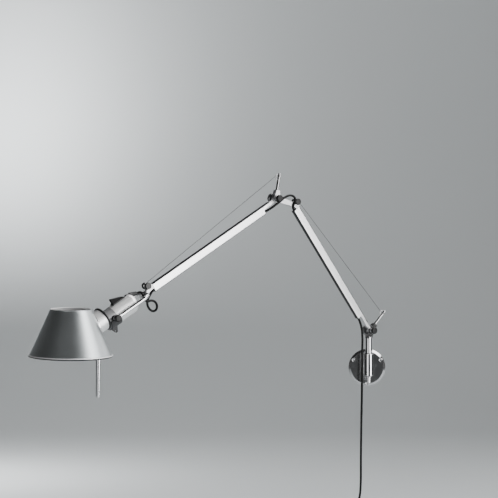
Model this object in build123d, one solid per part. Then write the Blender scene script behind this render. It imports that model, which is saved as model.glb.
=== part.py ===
"""Articulating wall lamp: wall bracket, two spring-balanced arms, forked head and cone shade.

Millimetres. The wall is the plane y = 0 and the lamp stands out towards -y, with +z up.
The origin is the centre of the round wall plate's back face.
"""
from build123d import *
from math import acos, atan2, cos, hypot, pi, radians, sin, tan
import os

os.makedirs("parts", exist_ok=True)

# ---------------------------------------------------------------- rest pose
SWIVEL_REST = 215.0        # heading of the arm plane about +z, from +x
LOWER_RISE = 53.2          # lower arm above the horizontal
UPPER_DROP = 30.3          # upper arm below the horizontal
SHADE_ROLL = -3.0          # shade turned a little about the neck

# ---------------------------------------------------------------- wall bracket
PLATE_D = 88.0
PLATE_T = 7.0
PLATE_BEVEL = 4.2
SCREW_PCD = 75.0
SCREW_COUNT = 3
SCREW_HOLE_D = 4.4
SCREW_SINK_D = 8.6
STANDOFF = 58.0            # wall to the swivel axis
BOSS_D = 19.0
SLEEVE_D = 23.0
SLEEVE_LOW = -16.0
SLEEVE_TOP = 36.0
BUSH_WALL = 1.6
BUSH_LEN = 12.0
BUSH_LIP = 1.2
RUN_GAP = 0.06             # radial running clearance of every shaft

# ---------------------------------------------------------------- stem and base pivot
STEM_D = 15.0
JOURNAL_D = 11.0
TAIL_LOW = -33.0
BASE_PIVOT_H = -5.0
BASE_PIVOT_Z = 91.0
CLEVIS_R = 8.0
CLEVIS_W = 12.0            # outside width of every clevis
EYE_W = 6.0                # width of the eye that turns in it
SIDE_GAP = 0.15
PIVOT_D = 6.0
EYE_R = 6.6
EAR_REACH = 17.0           # clevis ears towards the strut
STRUT_D = 7.0
BASE_STRUT_LEN = 64.0
BASE_STRUT_ANGLE = 135.0
STRUT_SLOT = 1.8

# ---------------------------------------------------------------- arms
TUBE_H = 20.0
TUBE_W = 12.0
TUBE_WALL = 1.4
TUBE_R = 3.2
PIVOT_RISE = 6.0           # pivot above the tube axis
LOWER_START = 48.0
LOWER_END = 359.0
UPPER_START = 46.0
UPPER_END = 382.0
STRIP_START = 24.0         # where the cut-back tube wall begins
ROLLER_BEYOND = 12.0       # roller centre past the tube end
ROLLER_RISE = 5.5          # roller centre above the pivot line
ROLLER_R = 7.0
ROLLER_GROOVE_R = 5.0
ROLLER_W = 4.6
CHEEK_T = 2.6
ELBOW_X = 411.0            # elbow pivot in the lower arm's frame
ELBOW_Z = -37.0
ELBOW_STRUT_LEN = 59.0
ELBOW_STRUT_ANGLE = 47.4   # from the lower arm's direction
WIRE_D = 0.9
SPRING_D = 7.6
SPRING_WIRE = 1.1
CABLE_D = 5.4
CABLE_DROP = 5.2           # cable below the tube axis

# ---------------------------------------------------------------- knobs
CAP_D = 16.0
CAP_T = 6.4
CABLE_PASS = 6.3           # room beside the clevis for the cable
KNOB_D = 24.0
KNOB_T = 8.0
SPACER_D = 9.0
SPACER_T = 3.0

# ---------------------------------------------------------------- fork
NOSE_X = 410.0             # fork hub in the upper arm's frame
TILT_X = 506.0             # head tilt axis in the upper arm's frame
NOSE_D = 6.0
HUB_D = 13.0
HUB_LEN = 11.0
FORK_D = 9.2
FORK_HALF = 28.0           # prong centre from the mid-plane
FORK_CORNER = 17.0
PRONG_EYE_R = 6.4
PRONG_EYE_T = 7.8
PRONG_FLAT = 11.0          # flats on the prong either side of the tilt axis

# ---------------------------------------------------------------- head
HOUSING_D = 41.5
HOUSING_WALL = 1.8
COLLAR_FRONT = 14.4
COLLAR_BACK = -8.0
COLLAR_D = 41.0
DOME_END = -70.0
DOME_R = 12.0
RING_D = 52.0
RING_T = 3.6
NECK_RISE = 7.3            # neck axis above the housing's axis
NECK_D = 47.0
NECK_START = 18.5
NECK_REACH = 37.3          # tilt axis to the shade's wall, along the neck
NECK_LEAN = 29.4           # shade's axis from square to the neck
NECK_WALL = 2.0
SHADE_TOP_D = 88.0
SHADE_LOW_D = 175.0
SHADE_H = 97.5
SHADE_WALL = 1.4
NECK_DOWN_SLANT = 36.4     # neck axis below the top rim, along the slant
BEAD_D = 5.0
DISC_DEPTH = 7.0
DISC_T = 2.0
WINDOW_D = 32.0
MODULE_D = 62.0
MODULE_H = 20.0
ROD_D = 11.4
ROD_TIP_D = 9.0
ROD_OFFSET = 67.3          # rod from the shade's axis
ROD_END = -190.5           # from the top rim, down the shade's axis
SWITCH_L = 33.0
SWITCH_W = 13.0
SWITCH_H = 12.2
SWITCH_X = -33.5

nodes = {}


# ---------------------------------------------------------------- helpers
def rod_x(d, x0, x1, y=0.0, z=0.0):
    return Pos((x0 + x1) / 2, y, z) * Rot(0, 90, 0) * Cylinder(d / 2, abs(x1 - x0))


def rod_y(d, y0, y1, x=0.0, z=0.0):
    return Pos(x, (y0 + y1) / 2, z) * Rot(90, 0, 0) * Cylinder(d / 2, abs(y1 - y0))


def rod_z(d, z0, z1, x=0.0, y=0.0):
    return Pos(x, y, (z0 + z1) / 2) * Cylinder(d / 2, abs(z1 - z0))


def block(x0, x1, y0, y1, z0, z1):
    return Pos((x0 + x1) / 2, (y0 + y1) / 2, (z0 + z1) / 2) * Box(x1 - x0, y1 - y0, z1 - z0)


def slab_y(outline, y0, y1):
    """A flat plate in the x-z plane, from y0 to y1."""
    return extrude(Plane((0, y1, 0), x_dir=(1, 0, 0), z_dir=(0, -1, 0)) * outline, y1 - y0)


def bar_2d(start, end, width_start, width_end):
    """A tapered bar with round ends, drawn in a plane."""
    run = Vector(*end) - Vector(*start)
    side = Vector(-run.Y, run.X).normalized()
    a, b = Vector(*start), Vector(*end)
    corners = [a + side * (width_start / 2), b + side * (width_end / 2),
               b - side * (width_end / 2), a - side * (width_start / 2)]
    body = make_face(Polyline(*[(c.X, c.Y) for c in corners], close=True))
    return body + Pos(*start) * Circle(width_start / 2) + Pos(*end) * Circle(width_end / 2)


def save(name, *solids):
    parts = [s for shape in solids for s in shape.solids()]
    whole = parts[0] if len(parts) == 1 else Compound(children=parts)
    nodes[name] = whole
    export_step(whole, f"parts/{name}.step")


def polar(radius, angle):
    return radius * cos(radians(angle)), radius * sin(radians(angle))


# ---------------------------------------------------------------- frames
ARM = Pos(0, -STANDOFF, 0) * Rot(0, 0, SWIVEL_REST)
BASE_PIVOT = Pos(BASE_PIVOT_H, 0, BASE_PIVOT_Z)
LOWER = ARM * BASE_PIVOT * Rot(0, -LOWER_RISE, 0)
ELBOW = LOWER * Pos(ELBOW_X, 0, ELBOW_Z)
UPPER = ELBOW * Rot(0, LOWER_RISE + UPPER_DROP, 0)
FORK = UPPER * Pos(0, 0, -PIVOT_RISE)          # x along the tube axis
HEAD = FORK * Pos(TILT_X, 0, 0)
FLARE = (SHADE_LOW_D - SHADE_TOP_D) / 2 / SHADE_H     # radius gained per millimetre down
FLARE_ANGLE = atan2((SHADE_LOW_D - SHADE_TOP_D) / 2, SHADE_H)
SLANT = radians(NECK_LEAN) - FLARE_ANGLE
SHADE_TOP = (NECK_REACH - NECK_DOWN_SLANT * sin(SLANT) + SHADE_TOP_D / 2 * cos(radians(NECK_LEAN)),
             NECK_DOWN_SLANT * cos(SLANT) + SHADE_TOP_D / 2 * sin(radians(NECK_LEAN)))
NECK = HEAD * Pos(0, 0, NECK_RISE) * Rot(SHADE_ROLL, 0, 0)
SHADE_IN_NECK = Pos(SHADE_TOP[0], 0, SHADE_TOP[1]) * Rot(0, -NECK_LEAN, 0)
SHADE = NECK * SHADE_IN_NECK


# ---------------------------------------------------------------- wall bracket
def wall_plate():
    profile = Polyline((0, 0), (PLATE_D / 2, 0), (PLATE_D / 2, PLATE_T - PLATE_BEVEL),
                       (PLATE_D / 2 - PLATE_BEVEL * 1.3, PLATE_T), (0, PLATE_T), close=True)
    disc = revolve(Plane.XZ * make_face(profile), Axis.Z)
    for turn in range(SCREW_COUNT):
        x, y = polar(SCREW_PCD / 2, 90 + 180 + turn * 360 / SCREW_COUNT)
        disc -= rod_z(SCREW_HOLE_D, -1, PLATE_T + 1, x, y)
        sink = (SCREW_SINK_D - SCREW_HOLE_D) / 2
        disc -= Pos(x, y, PLATE_T - sink / 2) * Cone(SCREW_HOLE_D / 2, SCREW_SINK_D / 2, sink)
        disc -= rod_z(SCREW_SINK_D, PLATE_T, PLATE_T + 5, x, y)
    return Rot(90, 0, 0) * disc


def sleeve():
    tube = rod_z(SLEEVE_D, SLEEVE_LOW, SLEEVE_TOP)
    tube = chamfer(tube.edges().filter_by(GeomType.CIRCLE), 0.8)
    tube -= rod_z(JOURNAL_D + 2 * BUSH_WALL, SLEEVE_LOW - 1, SLEEVE_TOP + 1)
    return Pos(0, -STANDOFF, 0) * tube


def plate_boss():
    reach = STANDOFF - PLATE_T
    boss = rod_y(BOSS_D, -PLATE_T - reach, -PLATE_T, z=(SLEEVE_LOW + SLEEVE_TOP) / 2)
    foot = Pos(0, -PLATE_T - 1.5, (SLEEVE_LOW + SLEEVE_TOP) / 2) * Rot(90, 0, 0) * \
        Cone(BOSS_D / 2 + 3, BOSS_D / 2, 3)
    boss += foot
    return boss - Pos(0, -STANDOFF, 0) * rod_z(SLEEVE_D, SLEEVE_LOW - 5, SLEEVE_TOP + 5)


def bush(z0, z1, lip_z, lip_dir):
    body = rod_z(JOURNAL_D + 2 * BUSH_WALL, z0, z1)
    body += rod_z(SLEEVE_D - 3, lip_z, lip_z + lip_dir * BUSH_LIP)
    body -= rod_z(JOURNAL_D + 2 * RUN_GAP, min(z0, z1) - 5, max(z0, z1) + 5)
    return Pos(0, -STANDOFF, 0) * body


save("wall_plate", wall_plate())
save("plate_boss", plate_boss())
save("pivot_sleeve", sleeve())
save("sleeve_bushes", bush(SLEEVE_TOP - BUSH_LEN, SLEEVE_TOP, SLEEVE_TOP, 1),
     bush(SLEEVE_LOW, SLEEVE_LOW + BUSH_LEN, SLEEVE_LOW, -1))


# ---------------------------------------------------------------- pivots shared by both elbows
def clevis(x, z, ear_angle):
    """Cheeks round a pivot at (x, z), with an ear that carries the strut."""
    ear = polar(EAR_REACH, ear_angle)
    shape = bar_2d((x, z), (x + ear[0], z + ear[1]), 2 * CLEVIS_R, STRUT_D + 3)
    return slab_y(shape, -CLEVIS_W / 2, CLEVIS_W / 2)


def clevis_cuts(x, z, ear_angle):
    """The slot for the turning eye, the bolt hole and the flat seat of the strut."""
    slot = EYE_W / 2 + SIDE_GAP
    cuts = slab_y(Pos(x, z) * Circle(EYE_R + 6), -slot, slot)
    cuts += rod_y(PIVOT_D + 2 * RUN_GAP, -CLEVIS_W, CLEVIS_W, x, z)
    seat = Pos(x, 0, z) * Rot(0, -ear_angle, 0) * block(strut_seat(), strut_seat() + 20, -9, 9, -12, 12)
    return cuts + seat


def strut_seat():
    return EAR_REACH + 2


def strut(length):
    """A rod along +x from its seat, slotted at the tip, with the wire's hook on the -z side."""
    rod = rod_x(STRUT_D, strut_seat(), length)
    rod = fillet(rod.edges().group_by(Axis.X)[-1], STRUT_D * 0.42)
    collar = rod_x(STRUT_D + 1.6, strut_seat(), strut_seat() + 2.2)
    slot = block(length - 7, length + 1, -STRUT_SLOT / 2, STRUT_SLOT / 2, -STRUT_D, STRUT_D)
    return rod + collar - slot


HOOK_OUT = 9.0             # how far the hook stands off the strut's axis
HOOK_BACK = 10.0           # hook's middle below the strut's tip
HOOK_HALF = 6.5
HOOK_WIRE = 1.5


def strut_hook(length):
    middle = length - HOOK_BACK
    bow = ThreePointArc((middle - HOOK_HALF, -STRUT_D / 2 + 0.6), (middle, -HOOK_OUT),
                        (middle + HOOK_HALF, -STRUT_D / 2 + 0.6))
    path = Plane.XZ * bow
    bend = sweep(Plane(origin=path @ 0, z_dir=path % 0) * Circle(HOOK_WIRE / 2), path)
    return bend - rod_x(STRUT_D, strut_seat(), length + 5)


def strut_screw(length):
    x = length - 8
    head = rod_y(3.6, STRUT_D / 2 - 0.4, STRUT_D / 2 + 1.4, x)
    head -= block(x - 2, x + 2, STRUT_D / 2 + 0.8, STRUT_D / 2 + 2, -0.35, 0.35)
    return head - rod_x(STRUT_D, strut_seat(), length)


def pivot_bolt():
    """Stepped bolt along y: shoulder towards the cap, shank through the eye."""
    near = CLEVIS_W / 2 + CABLE_PASS
    far = CLEVIS_W / 2 + SPACER_T + KNOB_T - 2
    return rod_y(SPACER_D, CLEVIS_W / 2, near) + rod_y(PIVOT_D, -far, CLEVIS_W / 2 + 1) \
        + rod_y(PIVOT_D, near - 1, near + CAP_T - 2)


def pivot_washers():
    edge = -CLEVIS_W / 2
    plain = rod_y(13, edge - 1.2, edge)
    sprung = rod_y(11, edge - SPACER_T + 0.1, edge - 1.2)
    hole = rod_y(PIVOT_D + 0.2, edge - 5, edge + 1)
    return [plain - hole, sprung - hole]


def cap_knob(start, bore=PIVOT_D):
    body = rod_y(CAP_D, start, start + CAP_T)
    body = fillet(body.faces().sort_by(Axis.Y)[-1].edges(), 2.4)
    body = chamfer(body.edges().group_by(Axis.Y)[0], 0.5)
    return body - rod_y(bore, start - 1, start + CAP_T - 2)


def far_knob(start, diameter, bore=PIVOT_D):
    """Tightening knob with grip flutes, on the -y side; its bore turns on the bolt."""
    body = rod_y(diameter, -start - KNOB_T, -start)
    body = chamfer(body.edges().filter_by(GeomType.CIRCLE), 0.9)
    for turn in range(KNOB_FLUTES):
        x, z = polar(diameter / 2 + 0.7, turn * 360 / KNOB_FLUTES)
        body -= rod_y(2.6, -start - KNOB_T - 1, -start + 1, x, z)
    dish = rod_y(diameter - 8, -start - KNOB_T - 1, -start - KNOB_T + 0.8)
    return body - dish - rod_y(bore + 2 * RUN_GAP, -start - KNOB_T + 1.8, -start + 1)


KNOB_FLUTES = 18
NEAR_KNOB = CLEVIS_W / 2 + CABLE_PASS
FAR_KNOB = CLEVIS_W / 2 + SPACER_T


# ---------------------------------------------------------------- stem
def stem():
    shoulder = SLEEVE_TOP + BUSH_LIP
    top = BASE_PIVOT_Z - CLEVIS_R - 9
    body = rod_z(JOURNAL_D, TAIL_LOW, shoulder) + rod_z(STEM_D, shoulder, top)
    body += Pos(0, 0, top + 2) * Cone(STEM_D / 2, STEM_D / 2 - 1.6, 4)
    lug = bar_2d((0, top), (BASE_PIVOT_H, BASE_PIVOT_Z), STEM_D - 3, 2 * CLEVIS_R)
    body += slab_y(lug, -CLEVIS_W / 2, CLEVIS_W / 2)
    body += clevis(BASE_PIVOT_H, BASE_PIVOT_Z, BASE_STRUT_ANGLE)
    body -= clevis_cuts(BASE_PIVOT_H, BASE_PIVOT_Z, BASE_STRUT_ANGLE)
    groove = rod_z(JOURNAL_D + 2, RING_SEAT - 1.2, RING_SEAT) - rod_z(JOURNAL_D - 2, -60, 60)
    body = chamfer(body.edges().group_by(Axis.Z)[0], 1.0)
    return body - groove


RING_SEAT = SLEEVE_LOW - BUSH_LIP - 1.1


def retaining_ring():
    ring = rod_z(JOURNAL_D + 5, RING_SEAT - 1.1, RING_SEAT - 0.1)
    return ring - rod_z(JOURNAL_D - 1.8, -60, 60) - block(0, 12, -3.4, 3.4, -60, 60)


def tail_washer():
    return rod_z(JOURNAL_D + 7, RING_SEAT, RING_SEAT + 1.0) - rod_z(JOURNAL_D + 0.2, -60, 60)


BASE_STRUT = ARM * BASE_PIVOT * Rot(0, -BASE_STRUT_ANGLE, 0)
ELBOW_STRUT = ELBOW * Rot(0, -ELBOW_STRUT_ANGLE, 0)

save("stem", ARM * stem())
save("stem_retainer", ARM * tail_washer(), ARM * retaining_ring())
for place, where, length in (("base", BASE_STRUT, BASE_STRUT_LEN), ("elbow", ELBOW_STRUT, ELBOW_STRUT_LEN)):
    save(f"{place}_strut", where * strut(length))
    save(f"{place}_wire_anchor", where * strut_hook(length), where * strut_screw(length))
for place, where in (("base", ARM * BASE_PIVOT), ("elbow", ELBOW)):
    save(f"{place}_bolt", where * pivot_bolt(), *[where * w for w in pivot_washers()])
    save(f"{place}_cap", where * cap_knob(NEAR_KNOB))
    save(f"{place}_knob", where * far_knob(FAR_KNOB, KNOB_D))


# ---------------------------------------------------------------- arms
def arm_tube(start, end):
    profile = Plane.YZ * (RectangleRounded(TUBE_W, TUBE_H, TUBE_R)
                          - RectangleRounded(TUBE_W - 2 * TUBE_WALL, TUBE_H - 2 * TUBE_WALL,
                                             TUBE_R - TUBE_WALL))
    tube = Pos(STRIP_START, 0, -PIVOT_RISE) * extrude(profile, end - STRIP_START)
    low = -PIVOT_RISE - TUBE_H
    notch = make_face(Polyline((STRIP_START - 2, low), (STRIP_START - 2, 3.2), (STRIP_START, 3.2),
                               (start - 8, -4.2), (start - 1, -6.0), (start + 1, low), close=True))
    return tube - slab_y(notch, -TUBE_W, TUBE_W)


INNER_W = TUBE_W - 2 * TUBE_WALL - 0.2
INNER_TOP = TUBE_H / 2 - TUBE_WALL - PIVOT_RISE - 0.1
INNER_LOW = -TUBE_H / 2 + TUBE_WALL - PIVOT_RISE + 0.1
CABLE_Z = -PIVOT_RISE - CABLE_DROP
SPRING_Z = INNER_TOP - SPRING_D / 2 - 0.4
PLUG_LEN = 14.0


def inner_bar(x0, x1):
    """A bar that fills the tube's bore."""
    section = RectangleRounded(INNER_W, INNER_TOP - INNER_LOW, TUBE_R - TUBE_WALL)
    return Pos(x0, 0, (INNER_TOP + INNER_LOW) / 2) * extrude(Plane.YZ * section, x1 - x0)


def plug(x0):
    return inner_bar(x0, x0 + PLUG_LEN) - rod_x(CABLE_D + 0.6, x0 - 1, x0 + PLUG_LEN + 1, z=CABLE_Z)


def eye_fitting(start):
    """The arm's first end: an eye on a tongue that runs back into the tube."""
    tongue = make_face(Polyline((0, 3.4), (10, 3.0), (STRIP_START, INNER_TOP), (start + 2, INNER_TOP),
                                (start + 2, -5.2), (STRIP_START - 4, -5.2), (10, -3.6), (0, -3.4),
                                close=True))
    wide = slab_y(tongue, -INNER_W / 2, INNER_W / 2) & inner_bar(STRIP_START - 8, start + 4)
    thin = slab_y(tongue + Circle(EYE_R), -EYE_W / 2, EYE_W / 2)
    body = thin + wide + plug(start + 2)
    return body - rod_y(PIVOT_D + 2 * RUN_GAP, -10, 10)


def roller_lug(end, reach_x, reach_z):
    """The arm's second end: plug, two cheeks for the roller and a bar on to (reach_x, reach_z)."""
    cx, cz = end + ROLLER_BEYOND, ROLLER_RISE
    outside = slab_y(bar_2d((end + 1, -2), (cx, cz), 9, 11), -LUG_HALF, LUG_HALF)
    outside += slab_y(bar_2d((end + 3, -3.2), (reach_x, reach_z), 6.4, 7.4), -LUG_HALF, LUG_HALF)
    outside -= block(end - 20, end, -20, 20, -30, 30)
    return plug(end - PLUG_LEN) + outside


LUG_HALF = ROLLER_W / 2 + 0.15 + CHEEK_T


def roller_cuts(end):
    cx, cz = end + ROLLER_BEYOND, ROLLER_RISE
    gap = ROLLER_W / 2 + 0.15
    cuts = slab_y(Pos(cx, cz) * Circle(ROLLER_R + 1.0), -gap, gap)
    cuts += rod_x(2.4, end - PLUG_LEN - 1, cx, z=ROLLER_RISE - ROLLER_GROOVE_R)
    return cuts + rod_y(AXLE_D + 2 * RUN_GAP, -12, 12, cx, cz)


AXLE_D = 3.0


def roller(end):
    cx, cz = end + ROLLER_BEYOND, ROLLER_RISE
    half = ROLLER_W / 2
    flank = Polyline((AXLE_D / 2 + RUN_GAP, -half), (ROLLER_R - 0.4, -half), (ROLLER_GROOVE_R, -0.7),
                     (ROLLER_GROOVE_R, 0.7), (ROLLER_R - 0.4, half), (AXLE_D / 2 + RUN_GAP, half), close=True)
    wheel = revolve(Plane.XZ * make_face(flank), Axis.Z)
    return Pos(cx, 0, cz) * Rot(90, 0, 0) * wheel


def roller_axle(end):
    cx, cz = end + ROLLER_BEYOND, ROLLER_RISE
    return rod_y(AXLE_D, -LUG_HALF - 3, LUG_HALF + 3, cx, cz)


ROLLER_CAP_D = 15.0
ROLLER_CAP_T = 4.2


def roller_caps(end):
    cx, cz = end + ROLLER_BEYOND, ROLLER_RISE
    caps = []
    for side in (-1, 1):
        a, b = side * (LUG_HALF + 0.1), side * (LUG_HALF + 0.1 + ROLLER_CAP_T)
        cap = rod_y(ROLLER_CAP_D, min(a, b), max(a, b), cx, cz)
        outer = cap.faces().sort_by(Axis.Y)[-1 if side > 0 else 0]
        cap = fillet(outer.edges(), 1.2)
        caps.append(cap - rod_y(AXLE_D, -LUG_HALF - 3, LUG_HALF + 3, cx, cz))
    return caps


def elbow_link():
    """The lower arm's top end: roller cheeks and the bar that carries the elbow's clevis."""
    body = roller_lug(LOWER_END, LOWER_END + 10, -5.0)
    bar = bar_2d((LOWER_END + 8, -3.2), (ELBOW_X, ELBOW_Z), 8.0, 2 * CLEVIS_R - 2)
    body += slab_y(bar, -LUG_HALF, LUG_HALF) + clevis(ELBOW_X, ELBOW_Z, ELBOW_STRUT_ANGLE)
    return body - clevis_cuts(ELBOW_X, ELBOW_Z, ELBOW_STRUT_ANGLE) - roller_cuts(LOWER_END)


def nose_fitting():
    """The upper arm's far end: roller cheeks and a nose pin on the tube's axis for the fork."""
    axis = -PIVOT_RISE
    hub = NOSE_X - HUB_LEN / 2
    body = roller_lug(UPPER_END, hub - 6, axis + 1)
    body += rod_x(10, hub - 9, hub, z=axis)
    body += rod_x(NOSE_D, hub - 1, NOSE_X + HUB_LEN / 2 + 3.8, z=axis)
    return body - roller_cuts(UPPER_END)


save("lower_tube", LOWER * arm_tube(LOWER_START, LOWER_END))
save("base_eye", LOWER * eye_fitting(LOWER_START))
save("upper_tube", UPPER * arm_tube(UPPER_START, UPPER_END))
save("elbow_eye", UPPER * eye_fitting(UPPER_START))
for arm, frame, end in (("lower", LOWER, LOWER_END), ("upper", UPPER, UPPER_END)):
    save(f"{arm}_roller", frame * roller(end))
    save(f"{arm}_roller_axle", frame * roller_axle(end), *[frame * cap for cap in roller_caps(end)])


# ---------------------------------------------------------------- fork
def fork():
    """A U of round rod: prongs on each side of the housing, the base through the swivel hub."""
    tip = TILT_X - NOSE_X
    half = FORK_HALF
    path = Plane.XY * FilletPolyline((tip, half), (0, half), (0, -half), (tip, -half), radius=FORK_CORNER)
    start = Plane(origin=(tip, half, 0), z_dir=(-1, 0, 0))
    body = sweep(start * Circle(FORK_D / 2), path)
    for side in (-1, 1):
        y = side * half
        body += rod_y(2 * PRONG_EYE_R, y - PRONG_EYE_T / 2, y + PRONG_EYE_T / 2, tip)
        body -= rod_y(PIVOT_D - 1 + 2 * RUN_GAP, y - 9, y + 9, tip)
        for face in (-1, 1):
            inner, outer = sorted((y + face * PRONG_EYE_T / 2, y + face * FORK_D))
            body -= block(tip - PRONG_FLAT, tip + 10, inner, outer, -10, 10)
    hub = rod_x(HUB_D, -HUB_LEN / 2, HUB_LEN / 2)
    hub = chamfer(hub.edges().filter_by(GeomType.CIRCLE), 1.0)
    return body + hub - rod_x(NOSE_D + 2 * RUN_GAP, -20, 20)


NUT_D = 10.0
NUT_T = 3.6


def nose_nut():
    nut = Plane.YZ.offset(HUB_LEN / 2 + 0.1) * RegularPolygon(NUT_D / 2, 6)
    body = extrude(nut, NUT_T)
    return body - rod_x(NOSE_D, 0, 30)


# ---------------------------------------------------------------- head
BOSS_IN = HOUSING_D / 2 - 2.5       # pivot bosses start inside the collar's wall
BOSS_OUT = FORK_HALF - PRONG_EYE_T / 2 - 0.2
TILT_BOSS_D = 12.0


def collar():
    """Front band of the housing: carries the pivot bosses and the tilt bracket."""
    band = rod_x(COLLAR_D, COLLAR_BACK, COLLAR_FRONT)
    band = chamfer(band.edges().group_by(Axis.X)[0], 0.6)
    for side in (-1, 1):
        a, b = sorted((side * BOSS_IN, side * BOSS_OUT))
        band += rod_y(TILT_BOSS_D, a, b)
    band -= rod_x(COLLAR_D - 2 * HOUSING_WALL, COLLAR_BACK - 1, COLLAR_FRONT - 2.4)
    band -= rod_x(COLLAR_D - 12, COLLAR_FRONT - 3, COLLAR_FRONT + 1)
    return band - rod_y(PIVOT_D - 1, -40, 40)


def housing_shell():
    r = HOUSING_D / 2

    def half_profile(radius, back, corner):
        pen = Polyline((COLLAR_BACK, 0), (COLLAR_BACK, radius), (back + corner, radius))
        arc = RadiusArc((back + corner, radius), (back, radius - corner), -corner)
        close = Polyline((back, radius - corner), (back, 0), (COLLAR_BACK, 0))
        return make_face(pen + arc + close)

    outer = revolve(Plane.XY * half_profile(r, DOME_END, DOME_R), Axis.X)
    inner = revolve(Plane.XY * half_profile(r - HOUSING_WALL, DOME_END + HOUSING_WALL,
                                            DOME_R - HOUSING_WALL), Axis.X)
    shell = outer - inner
    recess = block(SWITCH_X - SWITCH_L / 2, SWITCH_X + SWITCH_L / 2, -SWITCH_W / 2, SWITCH_W / 2,
                   r - 4, r + 2)
    shell -= recess
    return shell - (GLAND * (rod_x(GLAND_SHANK, -12, 12) + rod_x(GLAND_FLANGE + 0.2, -12, -2.2)))


GLAND_SHANK = 7.0
GLAND_FLANGE = 11.4
GLAND_SLOPE = -17.0
GLAND = Pos(DOME_END + 7.0, 0, 17.2) * Rot(0, GLAND_SLOPE, 0)
GLAND_LEN = 20.0


def cable_gland():
    """Ribbed strain relief, along -x from the dome."""
    body = rod_x(GLAND_SHANK, -3, 8)
    body += rod_x(GLAND_FLANGE, -6.0, -2.2)
    steps = 4
    for step in range(steps):
        x = -6.0 - step * (GLAND_LEN - 6) / steps
        d = 10.6 - step * 0.6
        body += rod_x(d, x - 2.5, x) + rod_x(d - 1.6, x - 3.9, x - 2.4)
    return body


def front_ring():
    ring = rod_x(RING_D, COLLAR_FRONT, COLLAR_FRONT + RING_T)
    ring = fillet(ring.edges().filter_by(GeomType.CIRCLE), 1.3)
    return ring - rod_x(NECK_D - 24, 0, 60)


BRACKET_T = 2.6
BRACKET_BACK = -15.0
BRACKET_FRONT = 12.8
LUG_DROP = 13.0


def tilt_bracket():
    """A strap under the collar from boss to boss, with a holed lug at the bottom."""
    inner = COLLAR_D / 2 + 0.05
    band = rod_x(2 * (inner + BRACKET_T), BRACKET_BACK, BRACKET_FRONT) - rod_x(2 * inner, -30, 30)
    band &= block(-30, 30, -30, 30, -30, -2.0)
    band -= rod_x(2 * inner + 0.8, BRACKET_BACK - 1, COLLAR_BACK)
    for side in (-1, 1):
        a, b = sorted((side * (inner - 0.6), side * (inner + BRACKET_T)))
        band -= rod_y(TILT_BOSS_D + 0.4, a - 3, b + 3)
    low = -inner - BRACKET_T + 0.3
    lug = make_face(Polyline((-7.2, low), (7.2, low), (8.2, low - 4), (5.2, low - LUG_DROP + 3),
                             (2.4, low - LUG_DROP), (-1.6, low - LUG_DROP + 1), (-5.0, low - 5), close=True))
    lug = lug - Pos(2.6, low - LUG_DROP + 4.6) * Circle(1.7)
    lug = slab_y(lug, -1.6, 1.6)
    return band + lug


def head_bolt():
    """One bolt per side, from the cap through the prong into the collar's boss."""
    inner, outer = HOUSING_D / 2 - 5, FORK_HALF + PRONG_EYE_T / 2
    return rod_y(PIVOT_D - 1, inner, outer + CAP_T - 2.2)


def switch_bezel():
    r = HOUSING_D / 2
    frame = block(SWITCH_X - SWITCH_L / 2, SWITCH_X + SWITCH_L / 2,
                  -SWITCH_W / 2, SWITCH_W / 2, r - 4, r + 1.2)
    frame = fillet(frame.edges().filter_by(Axis.Z), 1.5)
    well = block(SWITCH_X - SWITCH_L / 2 + 1.6, SWITCH_X + SWITCH_L / 2 - 1.6,
                 -SWITCH_W / 2 + 1.6, SWITCH_W / 2 - 1.6, r - 2.8, r + 3)
    return frame - well


ROCKER_AXIS_Z = 0.4        # above the housing's radius


def rocker():
    """A rocker whose raised end stands over the housing's front."""
    r = HOUSING_D / 2
    half = SWITCH_L / 2 - 2.0
    w = SWITCH_W / 2 - 1.9
    side = make_face(Polyline((-half, 0.2), (-half, 2.6), (-half * 0.38, 5.9), (half - 1.2, SWITCH_H),
                              (half, SWITCH_H - 1.0), (half - 0.6, 0.2), (2.0, -1.0), (-2.0, -1.0),
                              close=True))
    body = slab_y(side, -w, w) + rod_y(1.8, -w - 0.2, w + 0.2)
    return Pos(SWITCH_X, 0, r + ROCKER_AXIS_Z) * body


save("fork", FORK * Pos(NOSE_X, 0, 0) * fork())
save("nose_fitting", UPPER * nose_fitting(), FORK * Pos(NOSE_X, 0, 0) * nose_nut())
save("head_collar", HEAD * collar())
save("rear_housing", HEAD * housing_shell())
save("cable_gland", HEAD * GLAND * cable_gland())
save("front_ring", HEAD * Pos(0, 0, NECK_RISE) * front_ring())
save("tilt_bracket", HEAD * tilt_bracket())
save("head_bolts", HEAD * head_bolt(), HEAD * Rot(0, 0, 180) * head_bolt())
save("head_cap", HEAD * cap_knob(FORK_HALF + PRONG_EYE_T / 2 + 0.2, PIVOT_D - 1))
save("head_knob", HEAD * far_knob(FORK_HALF + PRONG_EYE_T / 2 + 0.2, KNOB_D - 4, PIVOT_D - 1))
save("switch_bezel", HEAD * switch_bezel())
save("switch_rocker", HEAD * rocker())


# ---------------------------------------------------------------- shade
WALL_ACROSS = SHADE_WALL / cos(FLARE_ANGLE)
ROD_CLEAR = 0.6
ROD_TOP = -(ROD_OFFSET + ROD_D / 2 + ROD_CLEAR + WALL_ACROSS - SHADE_TOP_D / 2) / FLARE


def cone_solid(inset, past=0.0):
    """The cone's outline as a solid, its radius less inset, run on past both rims."""
    top = SHADE_TOP_D / 2 - inset - past * FLARE
    low = SHADE_LOW_D / 2 - inset + past * FLARE
    return Pos(0, 0, -SHADE_H / 2) * Cone(low, top, SHADE_H + 2 * past)


def neck_tube(diameter, x0=NECK_START, x1=NECK_REACH + 22):
    """A bar along the neck's axis, drawn in the shade's frame."""
    return SHADE_IN_NECK.inverse() * rod_x(diameter, x0, x1)


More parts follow.
